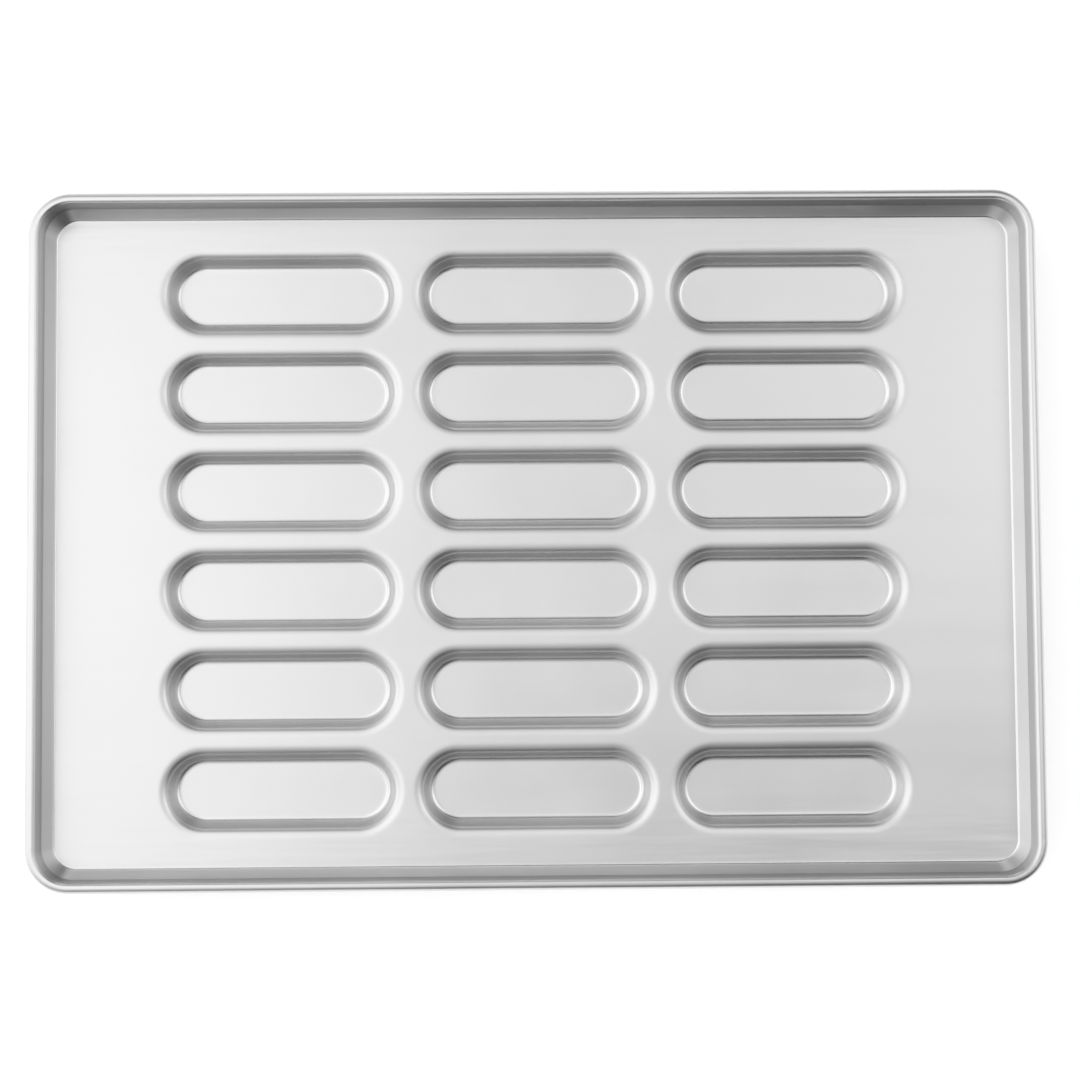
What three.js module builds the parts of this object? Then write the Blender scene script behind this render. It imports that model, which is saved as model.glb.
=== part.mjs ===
// Hot dog bun pan: one sheet of aluminium, pressed into bun moulds and edged with a rolled rim.
// The sheet's edge is curled round a steel wire, which stiffens the rim and keeps the pan flat in the oven.
// Millimetres, +Z up. The origin is under the middle of the pan, level with the undersides of the moulds.
import * as THREE from "three";
import { mergeVertices } from "three/addons/utils/BufferGeometryUtils.js";

const { degToRad } = THREE.MathUtils;

// Driving dimensions of the pan
const PAN_LENGTH = 657; // over the rim, along X
const PAN_WIDTH = 453; // over the rim, along Y
const RIM_HEIGHT = 25.4; // from the floor's upper face to the top of the rim
const CORNER_RADIUS = 28; // outside of the rim, in plan
const SHEET = 1; // gauge of the sheet

// The side wall: a flare up from the floor, then a steeper neck under the rim
const FLARE_ANGLE = degToRad(62); // from the floor
const FLARE_HEIGHT = 9.5; // where the flare ends
const FLOOR_BEND_RADIUS = 2.2;
const NECK_ANGLE = degToRad(88);
const NECK_BEND_RADIUS = 2;

// The rolled rim and the wire inside it
const WIRE_DIAMETER = 4.8;
const WIRE_CLEARANCE = 0.15; // all round, inside the curl
const WIRE_BUTT_GAP = 0.6; // between the two ends of the wire
const RIM_SHOULDER_RADIUS = 1.4; // inside, where the sheet turns out over the top of the neck
const CURL_EDGE_GAP = 0.6; // slit left between the curl's edge and the neck

// The moulds, sized over the edge of the lip
const MOULD_LENGTH = 157;
const MOULD_WIDTH = 57.2;
const MOULD_DEPTH = 12; // between the upper faces of the floor and the mould
const MOULD_WALL_ANGLE = degToRad(71);
const MOULD_LIP_RADIUS = 5.5; // under the sheet
const MOULD_FLOOR_RADIUS = 2; // inside the mould
const LAND_BETWEEN_ENDS = 10.1; // flat floor between neighbours, along X
const LAND_BETWEEN_SIDES = 8.3; // and along Y
const LEAST_MARGIN = 15; // flat floor kept between the moulds and the side wall

// How finely the round stretches are cut
const CORNER_STEPS = 8;
const MOULD_END_STEPS = 8;
const BEND_STEPS = 2;
const NECK_BEND_STEPS = 1;
const RIM_SHOULDER_STEPS = 3;
const CURL_STEPS = 9;
const WIRE_SIDES = 12;

const FLOOR_TOP = SHEET + MOULD_DEPTH;
const WIRE_SEAT_RADIUS = WIRE_DIAMETER / 2 + WIRE_CLEARANCE;
const RIM_RADIUS = WIRE_SEAT_RADIUS + SHEET;
const RIM_SHOULDER_OUTSIDE = RIM_SHOULDER_RADIUS + SHEET;

// Gathers the triangles of one closed body
class Skin {
  points = [];

  // Faces between two lines of points that run side by side, both anticlockwise from above
  band(from, to, closed) {
    const last = closed ? from.length : from.length - 1;
    for (let i = 0; i < last; i++) {
      const next = (i + 1) % from.length;
      this.points.push(from[i], to[i], to[next]);
      this.points.push(from[i], to[next], from[next]);
    }
  }

  loft(lines, closed = true) {
    for (let i = 1; i < lines.length; i++) this.band(lines[i - 1], lines[i], closed);
  }

  // A level face inside an outline, with holes in it
  level(outline, holes, facesUp) {
    const plan = (loop) => loop.map(({ x, y }) => new THREE.Vector2(x, y));
    const corners = [outline, ...holes].flat();
    for (const triangle of THREE.ShapeUtils.triangulateShape(plan(outline), holes.map(plan))) {
      const [a, b, c] = triangle.map((corner) => corners[corner]);
      const isUp = !THREE.ShapeUtils.isClockWise(plan([a, b, c]));
      this.points.push(a, ...(isUp === facesUp ? [b, c] : [c, b]));
    }
  }

  // A flat face over a convex ring of points
  cap(ring) {
    for (let i = 2; i < ring.length; i++) this.points.push(ring[0], ring[i - 1], ring[i]);
  }

  geometry() {
    const joined = mergeVertices(new THREE.BufferGeometry().setFromPoints(this.points));
    joined.computeVertexNormals();
    return joined;
  }
}

// Folds a strip of sheet as a press does, by straight runs and by bends, following its upper face.
// Gives both faces' points, as distance along the floor and height, and the centre of each bend.
function foldStrip(startHeight, folds) {
  const strip = { upper: [], lower: [], centres: [] };
  const at = new THREE.Vector2(0, startHeight);
  let heading = 0;
  const normal = () => new THREE.Vector2(-Math.sin(heading), Math.cos(heading));
  const mark = () => {
    strip.upper.push(at.clone());
    strip.lower.push(at.clone().addScaledVector(normal(), -SHEET));
  };
  mark();
  for (const { run, bend, radius, steps } of folds) {
    if (run) {
      at.x += run * Math.cos(heading);
      at.y += run * Math.sin(heading);
      mark();
      continue;
    }
    // The radius is on the inside of the bend, which is the lower face where the strip turns down
    const reach = bend > 0 ? radius : -(radius + SHEET);
    const centre = at.clone().addScaledVector(normal(), reach);
    strip.centres.push(centre);
    for (let step = 0; step < steps; step++) {
      heading += bend / steps;
      at.copy(centre).addScaledVector(normal(), -reach);
      mark();
    }
  }
  return strip;
}

// How far a face on the given radius climbs as it bends from one slope to another
const climb = (radius, from, to) => radius * (Math.cos(from) - Math.cos(to));

// The wall and rim, folded outwards from the edge of the floor. The rim turns level over the neck,
// and runs on until the curl has room for the wire beside the neck.
function foldWall() {
  const flareClimb = FLARE_HEIGHT - climb(FLOOR_BEND_RADIUS, 0, FLARE_ANGLE);
  const neckBendClimb = climb(NECK_BEND_RADIUS, FLARE_ANGLE, NECK_ANGLE);
  const rimShoulderClimb = climb(RIM_SHOULDER_OUTSIDE, 0, NECK_ANGLE);
  const neckClimb = RIM_HEIGHT - FLARE_HEIGHT - neckBendClimb - rimShoulderClimb;
  const openTurn = Math.acos((WIRE_SEAT_RADIUS - CURL_EDGE_GAP) / RIM_RADIUS);
  return foldStrip(FLOOR_TOP, [
    { bend: FLARE_ANGLE, radius: FLOOR_BEND_RADIUS, steps: BEND_STEPS },
    { run: flareClimb / Math.sin(FLARE_ANGLE) },
    { bend: NECK_ANGLE - FLARE_ANGLE, radius: NECK_BEND_RADIUS, steps: NECK_BEND_STEPS },
    { run: neckClimb / Math.sin(NECK_ANGLE) },
    { bend: -NECK_ANGLE, radius: RIM_SHOULDER_RADIUS, steps: RIM_SHOULDER_STEPS },
    { run: RIM_RADIUS - RIM_SHOULDER_OUTSIDE * Math.sin(NECK_ANGLE) },
    { bend: NECK_ANGLE + openTurn - 2 * Math.PI, radius: WIRE_SEAT_RADIUS, steps: CURL_STEPS },
  ]);
}

// A mould's wall, folded inwards and down from the edge of its lip
function foldMould() {
  const bends = climb(MOULD_LIP_RADIUS + SHEET + MOULD_FLOOR_RADIUS, 0, MOULD_WALL_ANGLE);
  return foldStrip(FLOOR_TOP, [
    { bend: -MOULD_WALL_ANGLE, radius: MOULD_LIP_RADIUS, steps: BEND_STEPS },
    { run: (MOULD_DEPTH - bends) / Math.sin(MOULD_WALL_ANGLE) },
    { bend: MOULD_WALL_ANGLE, radius: MOULD_FLOOR_RADIUS, steps: BEND_STEPS },
  ]);
}

// A level loop, anticlockwise from above: an arc about each centre in turn, with straight sides between
function roundLoop({ centres, firstAngle, steps }, radius, z) {
  const sweep = (2 * Math.PI) / centres.length;
  return centres.flatMap((centre, i) =>
    Array.from({ length: steps + 1 }, (_, step) => {
      const angle = firstAngle + sweep * (i + step / steps);
      const spoke = new THREE.Vector2(Math.cos(angle), Math.sin(angle));
      const { x, y } = spoke.multiplyScalar(radius).add(centre);
      return new THREE.Vector3(x, y, z);
    }),
  );
}

// Every line of the wall, the rim and the wire turns about the same four corner centres
const wall = foldWall();
const wireAxis = wall.centres.at(-1);
const wallReach = wireAxis.x + RIM_RADIUS;
const cornerX = PAN_LENGTH / 2 - CORNER_RADIUS;
const cornerY = PAN_WIDTH / 2 - CORNER_RADIUS;
const panPlan = {
  centres: [
    new THREE.Vector2(-cornerX, cornerY),
    new THREE.Vector2(-cornerX, -cornerY),
    new THREE.Vector2(cornerX, -cornerY),
    new THREE.Vector2(cornerX, cornerY),
  ],
  firstAngle: Math.PI / 2,
  steps: CORNER_STEPS,
};
const cornerRadiusAt = (distance) => CORNER_RADIUS - wallReach + distance;
const panLoop = ({ x, y }) => roundLoop(panPlan, cornerRadiusAt(x), y);

// Places along one side of the floor for as many moulds as it holds, centred
function mouldPlaces(panSize, mouldSize, land) {
  const room = panSize - 2 * (wallReach + LEAST_MARGIN);
  const pitch = mouldSize + land;
  const count = Math.floor((room + land) / pitch);
  return Array.from({ length: count }, (_, i) => (i - (count - 1) / 2) * pitch);
}

// The sheet: wall, curled rim, moulds and the flat floor that joins them, all of one gauge
function makePanSheet() {
  const skin = new Skin();
  skin.loft([...wall.upper, ...wall.lower.toReversed()].map(panLoop));

  const mould = foldMould();
  const halfSpan = (MOULD_LENGTH - MOULD_WIDTH) / 2;
  const upperRims = [];
  const lowerRims = [];
  for (const x of mouldPlaces(PAN_LENGTH, MOULD_LENGTH, LAND_BETWEEN_ENDS)) {
    for (const y of mouldPlaces(PAN_WIDTH, MOULD_WIDTH, LAND_BETWEEN_SIDES)) {
      const plan = {
        centres: [new THREE.Vector2(x + halfSpan, y), new THREE.Vector2(x - halfSpan, y)],
        firstAngle: -Math.PI / 2,
        steps: MOULD_END_STEPS,
      };
      const mouldLoop = (point) => roundLoop(plan, MOULD_WIDTH / 2 - point.x, point.y);
      const upper = mould.upper.map(mouldLoop);
      const lower = mould.lower.map(mouldLoop);
      skin.loft(upper.toReversed());
      skin.loft(lower);
      skin.level(upper.at(-1), [], true);
      skin.level(lower.at(-1), [], false);
      upperRims.push(upper[0]);
      lowerRims.push(lower[0]);
    }
  }

  skin.level(panLoop(wall.upper[0]), upperRims, true);
  skin.level(panLoop(wall.lower[0]), lowerRims, false);
  return skin.geometry();
}

// The wire: one length bent round the four corners, its ends butted in the middle of the back side
function makeRimWire() {
  const lines = Array.from({ length: WIRE_SIDES }, (_, side) => {
    const angle = (-2 * Math.PI * side) / WIRE_SIDES;
    const spoke = new THREE.Vector2(Math.cos(angle), Math.sin(angle));
    const loop = panLoop(spoke.multiplyScalar(WIRE_DIAMETER / 2).add(wireAxis));
    const { y, z } = loop[0];
    const start = new THREE.Vector3(-WIRE_BUTT_GAP / 2, y, z);
    const end = new THREE.Vector3(WIRE_BUTT_GAP / 2, y, z);
    return [start, ...loop, end];
  });
  const skin = new Skin();
  skin.loft([...lines, lines[0]], false);
  skin.cap(lines.map((line) => line[0]).toReversed());
  skin.cap(lines.map((line) => line.at(-1)));
  return skin.geometry();
}

function makePiece(name, geometry, material) {
  const piece = new THREE.Mesh(geometry, material);
  piece.name = name;
  return piece;
}

const sheetAluminium = new THREE.MeshStandardMaterial({ color: 0xc6c8c9, roughness: 0.36, metalness: 1 });
const galvanisedWire = new THREE.MeshStandardMaterial({ color: 0x9a9d9f, roughness: 0.45, metalness: 1 });

const bunPan = new THREE.Group();
bunPan.add(makePiece("pan_sheet", makePanSheet(), sheetAluminium));
bunPan.add(makePiece("rim_wire", makeRimWire(), galvanisedWire));

export default bunPan;
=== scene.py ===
import math

import bpy
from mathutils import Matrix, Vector


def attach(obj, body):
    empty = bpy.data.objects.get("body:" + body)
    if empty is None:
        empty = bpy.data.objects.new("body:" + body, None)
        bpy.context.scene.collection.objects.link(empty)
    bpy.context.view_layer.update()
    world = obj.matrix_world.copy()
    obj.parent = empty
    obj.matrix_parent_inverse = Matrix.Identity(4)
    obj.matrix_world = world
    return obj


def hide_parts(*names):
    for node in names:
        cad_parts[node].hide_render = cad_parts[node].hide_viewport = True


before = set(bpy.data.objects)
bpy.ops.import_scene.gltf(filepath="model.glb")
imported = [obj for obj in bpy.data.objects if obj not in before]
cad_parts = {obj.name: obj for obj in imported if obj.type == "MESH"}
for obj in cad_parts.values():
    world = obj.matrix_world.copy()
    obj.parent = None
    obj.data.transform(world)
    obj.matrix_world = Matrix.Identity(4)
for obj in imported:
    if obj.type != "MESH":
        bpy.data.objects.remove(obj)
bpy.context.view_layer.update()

# Side wall and rolled rim. The edge of the pan's one aluminium sheet, pressed up all round into a
# flare and a steeper neck, then curled outwards so that it closes over the rim wire and leaves no
# sharp edge.
SHEET = 0.001
FLOOR_TOP = 0.013
HALF_LENGTH = 0.3285
HALF_WIDTH = 0.2265
RIM_HEIGHT = 0.0254
CORNER_RADIUS = 0.028
FLARE_ANGLE = math.radians(62)
FLARE_HEIGHT = 0.0095
FLOOR_BEND = 0.0022
NECK_ANGLE = math.radians(88)
NECK_BEND = 0.002
RIM_SHOULDER = 0.0014
CURL_BORE = 0.00255
CURL_SLIT = 0.0006
LEAD_IN = 0.0015
WELD_DISTANCE = SHEET / 100

# Steps in each bend of the section, in each corner of the pan and along its sides
BEND_STEPS = 8
NECK_STEPS = 5
CURL_STEPS = 20
CORNER_STEPS = 14
LONG_SIDE_STEPS = 16
SHORT_SIDE_STEPS = 12

UP = Vector((0, 0, 1))
BACK = Vector((0, 1, 0))
RIGHT = Vector((1, 0, 0))


def climb(radius, start, end):
    """How far a bend rises between two slopes."""
    return radius * (math.cos(start) - math.cos(end))


def reach(radius, start, end):
    """How far a bend goes outwards between two slopes."""
    return radius * (math.sin(end) - math.sin(start))


def start_point(name, place):
    """Begins a section as one point, and leaves it open in edit mode."""
    bpy.ops.object.select_all(action="DESELECT")
    bpy.ops.mesh.primitive_plane_add(size=SHEET)
    line = bpy.context.object
    line.name = name
    bpy.ops.object.mode_set(mode="EDIT")
    bpy.ops.mesh.merge(type="CENTER")
    bpy.ops.transform.translate(value=place)
    return line


def fold(outward, slope, place, run=0.0, bend=0.0, radius=0.0, steps=1):
    """Draws the section on by a run and then a bend; returns the new slope and place."""
    along = outward * math.cos(slope) + UP * math.sin(slope)
    if run:
        bpy.ops.mesh.extrude_region_move(TRANSFORM_OT_translate={"value": along * run})
        place = place + along * run
    if bend:
        # The radius is on the inside of the bend, so under the sheet where the sheet turns down
        arm = radius if bend > 0 else -(radius + SHEET)
        centre = place + (UP * math.cos(slope) - outward * math.sin(slope)) * arm
        # Spin turns clockwise about its axis
        bpy.ops.mesh.spin(steps=steps, angle=bend, center=centre, axis=UP.cross(outward))
        slope += bend
        place = centre - (UP * math.cos(slope) - outward * math.sin(slope)) * arm
    return slope, place


def carry(direction, distance, steps=1):
    """Extrudes the section straight on, in equal steps."""
    step = direction * distance / steps
    for _ in range(steps):
        bpy.ops.mesh.extrude_region_move(TRANSFORM_OT_translate={"value": step})


def turn(x, y, angle, steps):
    """Spins the section anticlockwise about an upright axis."""
    bpy.ops.mesh.spin(steps=steps, angle=angle, center=(x, y, 0), axis=-UP)


def close_seam():
    """Merges the end of a closed sweep with its start."""
    bpy.ops.mesh.select_all(action="SELECT")
    bpy.ops.mesh.remove_doubles(threshold=WELD_DISTANCE)


def sweep_round_pan(gap=0.0):
    """Carries the section anticlockwise round the pan, from the middle of the back side."""
    corner_x = HALF_LENGTH - CORNER_RADIUS
    corner_y = HALF_WIDTH - CORNER_RADIUS
    carry(-RIGHT, corner_x - gap / 2, LONG_SIDE_STEPS // 2)
    turn(-corner_x, corner_y, math.pi / 2, CORNER_STEPS)
    carry(-BACK, 2 * corner_y, SHORT_SIDE_STEPS)
    turn(-corner_x, -corner_y, math.pi / 2, CORNER_STEPS)
    carry(RIGHT, 2 * corner_x, LONG_SIDE_STEPS)
    turn(corner_x, -corner_y, math.pi / 2, CORNER_STEPS)
    carry(BACK, 2 * corner_y, SHORT_SIDE_STEPS)
    turn(corner_x, corner_y, math.pi / 2, CORNER_STEPS)
    carry(-RIGHT, corner_x - gap / 2, LONG_SIDE_STEPS // 2)


rim_radius = CURL_BORE + SHEET
shoulder_radius = RIM_SHOULDER + SHEET
rim_run = rim_radius - shoulder_radius * math.sin(NECK_ANGLE)
flare_climb = FLARE_HEIGHT - climb(FLOOR_BEND, 0, FLARE_ANGLE)
neck_climb = (
    RIM_HEIGHT
    - FLARE_HEIGHT
    - climb(NECK_BEND, FLARE_ANGLE, NECK_ANGLE)
    - climb(shoulder_radius, 0, NECK_ANGLE)
)
wall_reach = (
    reach(FLOOR_BEND, 0, FLARE_ANGLE)
    + flare_climb / math.tan(FLARE_ANGLE)
    + reach(NECK_BEND, FLARE_ANGLE, NECK_ANGLE)
    + neck_climb / math.tan(NECK_ANGLE)
    + 2 * rim_radius
)
curl_angle = 2 * math.pi - math.acos((CURL_BORE - CURL_SLIT) / rim_radius)

place = Vector((0, HALF_WIDTH - wall_reach - LEAD_IN, FLOOR_TOP))
pan_sheet = start_point("pressed_sheet", place)
slope, place = fold(
    BACK, 0, place, run=LEAD_IN, bend=FLARE_ANGLE, radius=FLOOR_BEND, steps=BEND_STEPS
)
slope, place = fold(
    BACK,
    slope,
    place,
    run=flare_climb / math.sin(FLARE_ANGLE),
    bend=NECK_ANGLE - FLARE_ANGLE,
    radius=NECK_BEND,
    steps=NECK_STEPS,
)
slope, place = fold(
    BACK,
    slope,
    place,
    run=neck_climb / math.sin(NECK_ANGLE),
    bend=-NECK_ANGLE,
    radius=RIM_SHOULDER,
    steps=BEND_STEPS,
)
fold(
    BACK,
    slope,
    place,
    run=rim_run,
    bend=NECK_ANGLE - curl_angle,
    radius=CURL_BORE,
    steps=CURL_STEPS,
)
bpy.ops.mesh.select_all(action="SELECT")
sweep_round_pan()
close_seam()
bpy.ops.object.mode_set(mode="OBJECT")

# Bun moulds. Long round-ended hollows pressed down out of the floor by one punch each, in three
# columns of six, with a soft lip at the top, a sloping wall and a flat bottom. The pan stands on
# their undersides.
MOULD_DEPTH = 0.012
MOULD_HALF_WIDTH = 0.0307
MOULD_HALF_SPAN = 0.0502
MOULD_WALL_ANGLE = math.radians(71)
# The lip tightens as it turns down: slope reached, and radius on the way there
MOULD_LIP = (
    (math.radians(12), 0.017),
    (math.radians(30), 0.0065),
    (MOULD_WALL_ANGLE, 0.0018),
)
# The bend round the bottom opens out likewise
MOULD_FLOOR_BEND = (
    (math.radians(30), 0.0022),
    (math.radians(12), 0.0045),
    (0.0, 0.009),
)
MOULD_BEND_STEPS = 4
MOULD_END_STEPS = 28
MOULD_COLUMNS = (-0.1671, 0.0, 0.1671)
MOULD_ROWS = (-0.16375, -0.09825, -0.03275, 0.03275, 0.09825, 0.16375)


def fold_bends(slope, place, bends):
    """Draws bends one after another, down to each slope in turn."""
    for slope_reached, radius in bends:
        slope, place = fold(
            RIGHT,
            slope,
            place,
            bend=-slope_reached - slope,
            radius=radius,
            steps=MOULD_BEND_STEPS,
        )
    return slope, place


def select_edges(piece, wanted):
    """Selects the open edges of a piece whose two ends both fit, and nothing else."""
    bpy.ops.object.mode_set(mode="EDIT")
    bpy.ops.mesh.select_mode(type="EDGE")
    bpy.ops.mesh.select_all(action="DESELECT")
    bpy.ops.mesh.select_non_manifold(
        extend=False, use_wire=False, use_multi_face=False, use_verts=False
    )
    bpy.ops.object.mode_set(mode="OBJECT")
    corners = piece.data.vertices
    for edge in piece.data.edges:
        edge.select = edge.select and all(wanted(corners[i].co) for i in edge.vertices)
    bpy.ops.object.mode_set(mode="EDIT")


def pick(*pieces):
    """Selects these pieces alone and makes the first of them active."""
    bpy.ops.object.select_all(action="DESELECT")
    for piece in pieces:
        piece.select_set(True)
    bpy.context.view_layer.objects.active = pieces[0]


place = Vector((-MOULD_HALF_SPAN - MOULD_HALF_WIDTH - LEAD_IN, 0, FLOOR_TOP))
mould = start_point("mould", place)
slope, place = fold(RIGHT, 0, place, run=LEAD_IN)
slope, place = fold_bends(slope, place, MOULD_LIP)
wall_drop = place.z - (FLOOR_TOP - MOULD_DEPTH)
slope_before = MOULD_WALL_ANGLE
for slope_reached, radius in MOULD_FLOOR_BEND:
    wall_drop -= climb(radius, slope_reached, slope_before)
    slope_before = slope_reached
slope, place = fold(RIGHT, slope, place, run=wall_drop / math.sin(MOULD_WALL_ANGLE))
slope, place = fold_bends(slope, place, MOULD_FLOOR_BEND)
fold(RIGHT, 0, place, run=LEAD_IN)
bpy.ops.mesh.select_all(action="SELECT")
turn(-MOULD_HALF_SPAN, 0, math.pi / 2, MOULD_END_STEPS // 2)
carry(RIGHT, 2 * MOULD_HALF_SPAN)
turn(MOULD_HALF_SPAN, 0, math.pi, MOULD_END_STEPS)
carry(-RIGHT, 2 * MOULD_HALF_SPAN)
turn(-MOULD_HALF_SPAN, 0, math.pi / 2, MOULD_END_STEPS // 2)
close_seam()
select_edges(mould, lambda co: co.z < FLOOR_TOP - MOULD_DEPTH / 2)
bpy.ops.mesh.edge_face_add()
bpy.ops.object.mode_set(mode="OBJECT")

moulds = []
for x in MOULD_COLUMNS:
    for y in MOULD_ROWS:
        pick(mould)
        bpy.ops.object.duplicate(linked=False)
        bpy.ops.transform.translate(value=(x, y, 0))
        moulds.append(bpy.context.object)
bpy.data.objects.remove(mould)

# Floor. The flat of the aluminium sheet, left between the moulds and the side wall, which is what
# the press holds the blank by. It closes the pan into one skin, which then takes the sheet's gauge
# and the mill finish that the press and the washing have marked.
SMOOTH_ANGLE = math.radians(35)

pick(pan_sheet, *moulds)
bpy.ops.object.join()
select_edges(pan_sheet, lambda co: abs(co.z - FLOOR_TOP) < WELD_DISTANCE)
bpy.ops.mesh.fill(use_beauty=True)
bpy.ops.mesh.select_all(action="SELECT")
bpy.ops.mesh.normals_make_consistent(inside=False)
bpy.ops.object.mode_set(mode="OBJECT")
floor_face = max(pan_sheet.data.polygons, key=lambda face: face.area)
if floor_face.normal.z < 0:
    bpy.ops.object.mode_set(mode="EDIT")
    bpy.ops.mesh.flip_normals()
    bpy.ops.object.mode_set(mode="OBJECT")

gauge = pan_sheet.modifiers.new("gauge", "SOLIDIFY")
gauge.thickness = SHEET
gauge.offset = -1
gauge.use_even_offset = True
bpy.ops.object.modifier_apply(modifier=gauge.name)
bpy.ops.object.shade_smooth_by_angle(angle=SMOOTH_ANGLE)


def add_node(tree, kind, **settings):
    """Adds a shader node with these settings."""
    made = tree.nodes.new("ShaderNode" + kind)
    for setting, value in settings.items():
        setattr(made, setting, value)
    return made


def combine(tree, operation, *values):
    """One step of arithmetic on sockets and plain numbers."""
    step = add_node(tree, "Math", operation=operation)
    for socket, value in zip(step.inputs, values):
        if isinstance(value, bpy.types.NodeSocket):
            tree.links.new(value, socket)
        else:
            socket.default_value = value
    return step.outputs[0]


def spread(tree, value, start, end, low=0.0, high=1.0):
    """Runs from low to high while the value goes from start to end."""
    ramp = add_node(tree, "MapRange")
    ramp.inputs["From Min"].default_value = start
    ramp.inputs["From Max"].default_value = end
    ramp.inputs["To Min"].default_value = low
    ramp.inputs["To Max"].default_value = high
    tree.links.new(value, ramp.inputs["Value"])
    return ramp.outputs["Result"]


def clouds(tree, cells, detail, turned=0.0):
    """Soft noise, with this many cells to the metre along each axis."""
    mapping = add_node(tree, "Mapping")
    mapping.inputs["Rotation"].default_value = (0, 0, turned)
    mapping.inputs["Scale"].default_value = cells
    noise = add_node(tree, "TexNoise")
    noise.inputs["Scale"].default_value = 1
    noise.inputs["Detail"].default_value = detail
    tree.links.new(add_node(tree, "TexCoord").outputs["Object"], mapping.inputs["Vector"])
    tree.links.new(mapping.outputs["Vector"], noise.inputs["Vector"])
    return noise.outputs["Fac"]


def relief(tree, height, depth, under=None):
    """Raises the surface by up to this depth, on top of another relief."""
    bump = add_node(tree, "Bump")
    bump.inputs["Strength"].default_value = 1
    bump.inputs["Distance"].default_value = depth
    tree.links.new(height, bump.inputs["Height"])
    if under:
        tree.links.new(under, bump.inputs["Normal"])
    return bump.outputs["Normal"]


def mix_colours(tree, share, first, second):
    """Goes from the first colour, which may be a socket, to the second."""
    mix = add_node(tree, "MixRGB")
    if isinstance(first, bpy.types.NodeSocket):
        tree.links.new(first, mix.inputs["Color1"])
    else:
        mix.inputs["Color1"].default_value = (*first, 1)
    mix.inputs["Color2"].default_value = (*second, 1)
    tree.links.new(share, mix.inputs["Fac"])
    return mix.outputs["Color"]


def metal(name):
    """Starts a bare metal; returns the material, its nodes and its shader."""
    material = bpy.data.materials.new(name)
    material.use_nodes = True
    shader = material.node_tree.nodes["Principled BSDF"]
    shader.inputs["Metallic"].default_value = 1
    return material, material.node_tree, shader


DARK_SHEET = (0.77, 0.77, 0.771)
PALE_SHEET = (0.834, 0.834, 0.835)
# Painted shade for the neck under the rim bead, darker than the sheet and a little blue
PAINTED_NECK_SHADE = (0.54, 0.54, 0.546)
SHEET_ROUGHNESS = (0.285, 0.335)
NOISE_RANGE = (0.3, 0.7)

# How level a face is (1 is flat, 0 is upright), from where each mark starts to where it is full
STEEP_LEVELS = (0.95, 0.6)
BURNISH_START_LEVELS = (0.998, 0.985)
BURNISH_END_LEVELS = (0.86, 0.94)
MATT_LEVELS = (0.94, 0.78)
NECK_SHADE_LEVELS = (0.4, 0.15)

# Heights above the table, likewise
WALL_BEND_FOOT = (0.013, 0.01302)
WALL_BEND_HEAD = (0.0146, 0.0142)
MOULD_BEND_HEIGHTS = (0.0042, 0.0034)
MATT_HEIGHTS = (0.0129, 0.0125)
NECK_SHADE_HEIGHTS = (0.02, 0.024)

# What each mark adds to the roughness, and to the share of the pale colour
GRAIN_ROUGHNESS = 0.03
SCUFF_ROUGHNESS = 0.06
BURNISH_ROUGHNESS = -0.08
MATT_ROUGHNESS = 0.16
DRAW_LINE_TONE = -0.35
SCUFF_TONE = -0.25

# Cells to the metre of the noise that draws each mark, and its turn on the sheet
DRAW_LINE_CELLS = (5, 5, 1100)
GRAIN_CELLS = (10, 1500, 200)
HAZE_CELLS = (11, 11, 11)
HAIRLINE_CELLS = (3, 1700, 3)
HAIRLINE_TURN = math.radians(7)
SCUFF_CELLS = (7, 7, 7)
RIPPLE_CELLS = (7, 95, 7)
RIPPLE_TURN = math.radians(2)
WAVE_CELLS = (4, 22, 8)
DIMPLE_CELLS = (90, 140, 90)

# Share of that noise at which a hairline or a scuffed patch starts, and at which it is full
HAIRLINE_SHARE = (0.68, 0.76)
SCUFF_SHARE = (0.45, 0.65)
# Distance from the pan's middle at which the ripples start, and at which they are full
RIPPLE_BAND = (0.165, 0.2)

# How deep each mark goes
WAVE_DEPTH = 0.0004
RIPPLE_DEPTH = 0.0002
DIMPLE_DEPTH = 0.00002
GRAIN_DEPTH = 0.000002
DRAW_LINE_DEPTH = 0.00003
SCUFF_DEPTH = -0.000004

satin, tree, shader = metal("satin_aluminium")
spot = add_node(tree, "SeparateXYZ")
tree.links.new(add_node(tree, "TexCoord").outputs["Object"], spot.inputs["Vector"])
height = spot.outputs["Z"]
facing = add_node(tree, "SeparateXYZ")
tree.links.new(add_node(tree, "NewGeometry").outputs["Normal"], facing.inputs["Vector"])
level = combine(tree, "ABSOLUTE", facing.outputs["Z"])

# Where the sheet is steep it was drawn over the tool, which leaves lines that run level along it
steep = spread(tree, level, *STEEP_LEVELS)
draw_lines = combine(tree, "MULTIPLY", clouds(tree, DRAW_LINE_CELLS, detail=3), steep)

# The tool's nose burnishes the hollow bends
wall_bend = combine(
    tree,
    "MULTIPLY",
    spread(tree, height, *WALL_BEND_FOOT),
    spread(tree, height, *WALL_BEND_HEAD),
)
hollow = combine(tree, "ADD", wall_bend, spread(tree, height, *MOULD_BEND_HEIGHTS))
burnish = combine(
    tree,
    "MULTIPLY",
    spread(tree, level, *BURNISH_START_LEVELS),
    spread(tree, level, *BURNISH_END_LEVELS),
)
burnish = combine(tree, "MULTIPLY", burnish, hollow)

# Deep drawing leaves the mould walls matt, and painted shade darkens the steep neck under the rim
# bead
matt = combine(
    tree,
    "MULTIPLY",
    spread(tree, level, *MATT_LEVELS),
    spread(tree, height, *MATT_HEIGHTS),
)
neck_shade = combine(
    tree,
    "MULTIPLY",
    spread(tree, level, *NECK_SHADE_LEVELS),
    spread(tree, height, *NECK_SHADE_HEIGHTS),
)

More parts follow.
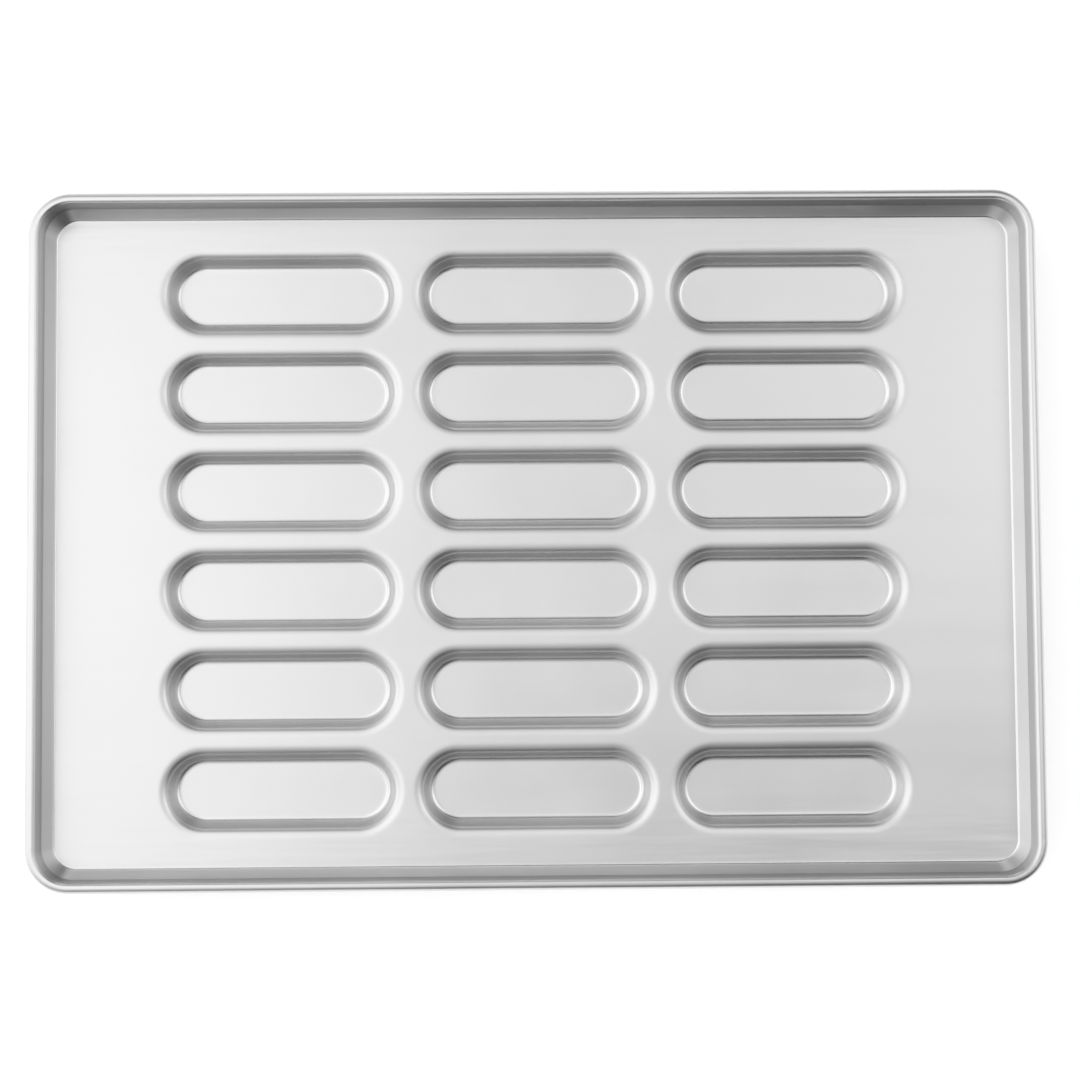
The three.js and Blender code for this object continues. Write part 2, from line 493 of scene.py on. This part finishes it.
# The mill leaves a fine grain along the sheet, and use leaves haze and hairline scuffs
rolled_grain = clouds(tree, GRAIN_CELLS, detail=3)
haze = clouds(tree, HAZE_CELLS, detail=4)
hairline = clouds(tree, HAIRLINE_CELLS, detail=1, turned=HAIRLINE_TURN)
hairline = spread(tree, hairline, *HAIRLINE_SHARE)
scuffed = spread(tree, clouds(tree, SCUFF_CELLS, detail=2), *SCUFF_SHARE)
scuffs = combine(tree, "MULTIPLY", hairline, scuffed)

# The blank holder leaves ripples in the floor, which show along the two long edges
long_edge = spread(tree, combine(tree, "ABSOLUTE", spot.outputs["Y"]), *RIPPLE_BAND)
ripples = clouds(tree, RIPPLE_CELLS, detail=2, turned=RIPPLE_TURN)
ripples = combine(tree, "MULTIPLY", ripples, long_edge)

roughness = spread(tree, haze, *NOISE_RANGE, *SHEET_ROUGHNESS)
for mark, added in (
    (rolled_grain, GRAIN_ROUGHNESS),
    (scuffs, SCUFF_ROUGHNESS),
    (burnish, BURNISH_ROUGHNESS),
    (matt, MATT_ROUGHNESS),
):
    roughness = combine(tree, "MULTIPLY_ADD", mark, added, roughness)
tree.links.new(roughness, shader.inputs["Roughness"])

tone = spread(tree, haze, *NOISE_RANGE)
for mark, added in ((draw_lines, DRAW_LINE_TONE), (scuffs, SCUFF_TONE)):
    tone = combine(tree, "MULTIPLY_ADD", mark, added, tone)
colour = mix_colours(tree, tone, DARK_SHEET, PALE_SHEET)
# Painted shade on the steep neck under the rim bead, not a film on the metal
colour = mix_colours(tree, neck_shade, colour, PAINTED_NECK_SHADE)
tree.links.new(colour, shader.inputs["Base Color"])

surface = None
for mark, depth in (
    (clouds(tree, WAVE_CELLS, detail=1), WAVE_DEPTH),
    (ripples, RIPPLE_DEPTH),
    (clouds(tree, DIMPLE_CELLS, detail=2), DIMPLE_DEPTH),
    (rolled_grain, GRAIN_DEPTH),
    (draw_lines, DRAW_LINE_DEPTH),
    (scuffs, SCUFF_DEPTH),
):
    surface = relief(tree, mark, depth, surface)
tree.links.new(surface, shader.inputs["Normal"])
pan_sheet.data.materials.append(satin)
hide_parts("pan_sheet")
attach(pan_sheet, "root")

# Rim wire. One length of round galvanised steel wire, bent round the four corners and butted in
# the middle of the back side. The curl of the rim is rolled shut over it, so only the slit behind
# the curl shows it.
WIRE_RADIUS = 0.0024
WIRE_SIDES = 20
WIRE_BUTT_GAP = 0.0006
DARK_ZINC = (0.5, 0.51, 0.525)
PALE_ZINC = (0.64, 0.65, 0.66)
ZINC_ROUGHNESS = (0.36, 0.56)
SPANGLE_CELLS = (260, 260, 260)
SPANGLE_SHARE = (0.4, 0.6)
SPANGLE_DEPTH = 0.00002
DULL_CELLS = (40, 40, 40)

bpy.ops.object.select_all(action="DESELECT")
bpy.ops.mesh.primitive_circle_add(
    vertices=WIRE_SIDES,
    radius=WIRE_RADIUS,
    location=(-WIRE_BUTT_GAP / 2, HALF_WIDTH - rim_radius, FLOOR_TOP + RIM_HEIGHT - rim_radius),
    rotation=(0, math.pi / 2, 0),
)
rim_wire = bpy.context.object
rim_wire.name = "stiffening_wire"
bpy.ops.object.transform_apply(location=True, rotation=True, scale=True)
bpy.ops.object.mode_set(mode="EDIT")
bpy.ops.mesh.select_all(action="SELECT")
sweep_round_pan(gap=WIRE_BUTT_GAP)
bpy.ops.mesh.select_all(action="SELECT")
bpy.ops.mesh.fill_holes(sides=0)
bpy.ops.mesh.normals_make_consistent(inside=False)
bpy.ops.object.mode_set(mode="OBJECT")
bpy.ops.object.shade_smooth_by_angle(angle=SMOOTH_ANGLE)

galvanised, tree, shader = metal("galvanised_wire")
spangle = clouds(tree, SPANGLE_CELLS, detail=2)
dulled = clouds(tree, DULL_CELLS, detail=3)
zinc = mix_colours(tree, spread(tree, spangle, *SPANGLE_SHARE), DARK_ZINC, PALE_ZINC)
tree.links.new(zinc, shader.inputs["Base Color"])
tree.links.new(spread(tree, dulled, *NOISE_RANGE, *ZINC_ROUGHNESS), shader.inputs["Roughness"])
tree.links.new(relief(tree, spangle, SPANGLE_DEPTH), shader.inputs["Normal"])
rim_wire.data.materials.append(galvanised)
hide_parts("rim_wire")
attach(rim_wire, "root")

# Table. A plain top, painted white, that the pan stands on by the undersides of its moulds. It is
# carried on so far that its edge stays out of the picture.
TABLE_SIZE = 120
TABLE_WHITE = (0.9, 0.9, 0.9, 1)
TABLE_ROUGHNESS = 0.7
TABLE_GLOW = 0.5

bpy.ops.object.select_all(action="DESELECT")
bpy.ops.mesh.primitive_plane_add(size=TABLE_SIZE)
table = bpy.context.object
table.name = "table"
paint = bpy.data.materials.new("table_white")
paint.use_nodes = True
tree = paint.node_tree
shader = tree.nodes["Principled BSDF"]
shader.inputs["Base Color"].default_value = TABLE_WHITE
shader.inputs["Roughness"].default_value = TABLE_ROUGHNESS
shader.inputs["Emission Color"].default_value = (1, 1, 1, 1)
ray = add_node(tree, "LightPath").outputs
seen = combine(tree, "ADD", ray["Is Camera Ray"], ray["Is Glossy Ray"])
seen = combine(tree, "ADD", seen, ray["Is Transmission Ray"])
tree.links.new(combine(tree, "MULTIPLY", seen, TABLE_GLOW), shader.inputs["Emission Strength"])
table.data.materials.append(paint)

# Studio light. A few wide soft panels hung round the table and over it, given by their direction
# in the world, because none of them stands near the pan.
SOFT_PANELS = (
    # Azimuth and elevation of the middle, then how far from it the panel's light is full and
    # how far out it ends, all in degrees; strength
    (209.8, 53.3, 31.0, 44.2, 0.339),
    (17.9, 66.7, 4.5, 26.3, 1.330),
    (165.9, 20.7, 1.0, 83.4, 1.148),
    (14.5, 5.2, 0.0, 72.4, 0.915),
    (125.3, 71.5, 0.1, 26.9, 0.867),
    (91.4, 19.4, 13.6, 14.7, 0.878),
    (259.2, 0.0, 22.6, 23.7, 0.884),
    (215.0, 75.1, 0.4, 19.4, 0.816),
)
ROOM_GLOW = 0.046

world = bpy.data.worlds.new("studio")
bpy.context.scene.world = world
world.use_nodes = True
sky = world.node_tree
direction = add_node(sky, "TexCoord").outputs["Generated"]
total = ROOM_GLOW
for azimuth, elevation, full, end, strength in SOFT_PANELS:
    azimuth, elevation = math.radians(azimuth), math.radians(elevation)
    towards = add_node(sky, "VectorMath", operation="DOT_PRODUCT")
    towards.inputs[1].default_value = (
        math.cos(elevation) * math.cos(azimuth),
        math.cos(elevation) * math.sin(azimuth),
        math.sin(elevation),
    )
    sky.links.new(direction, towards.inputs[0])
    fade = add_node(sky, "MapRange", interpolation_type="SMOOTHSTEP")
    fade.inputs["From Min"].default_value = math.radians(end)
    fade.inputs["From Max"].default_value = math.radians(full)
    fade.inputs["To Max"].default_value = strength
    away = combine(sky, "ARCCOSINE", towards.outputs["Value"])
    sky.links.new(away, fade.inputs["Value"])
    total = combine(sky, "ADD", fade.outputs["Result"], total)
sky.links.new(total, sky.nodes["Background"].inputs["Strength"])
sky.nodes["Background"].inputs["Color"].default_value = (1, 1, 1, 1)

# Camera. It hangs nearly straight above the pan, a little towards the front, at the photograph's
# viewing angle.
CAMERA_PLACE = (-0.012114, -0.071461, 1.306319)
CAMERA_TURN = (math.radians(3.14129), math.radians(-0.64862), math.radians(-0.43461))
CAMERA_SENSOR = 36
CAMERA_ANGLE = math.radians(30.7093)

bpy.ops.object.camera_add(location=CAMERA_PLACE, rotation=CAMERA_TURN)
camera = bpy.context.object
camera.data.sensor_width = CAMERA_SENSOR
camera.data.angle = CAMERA_ANGLE
bpy.context.scene.camera = camera
bpy.context.scene.view_settings.view_transform = "Standard"
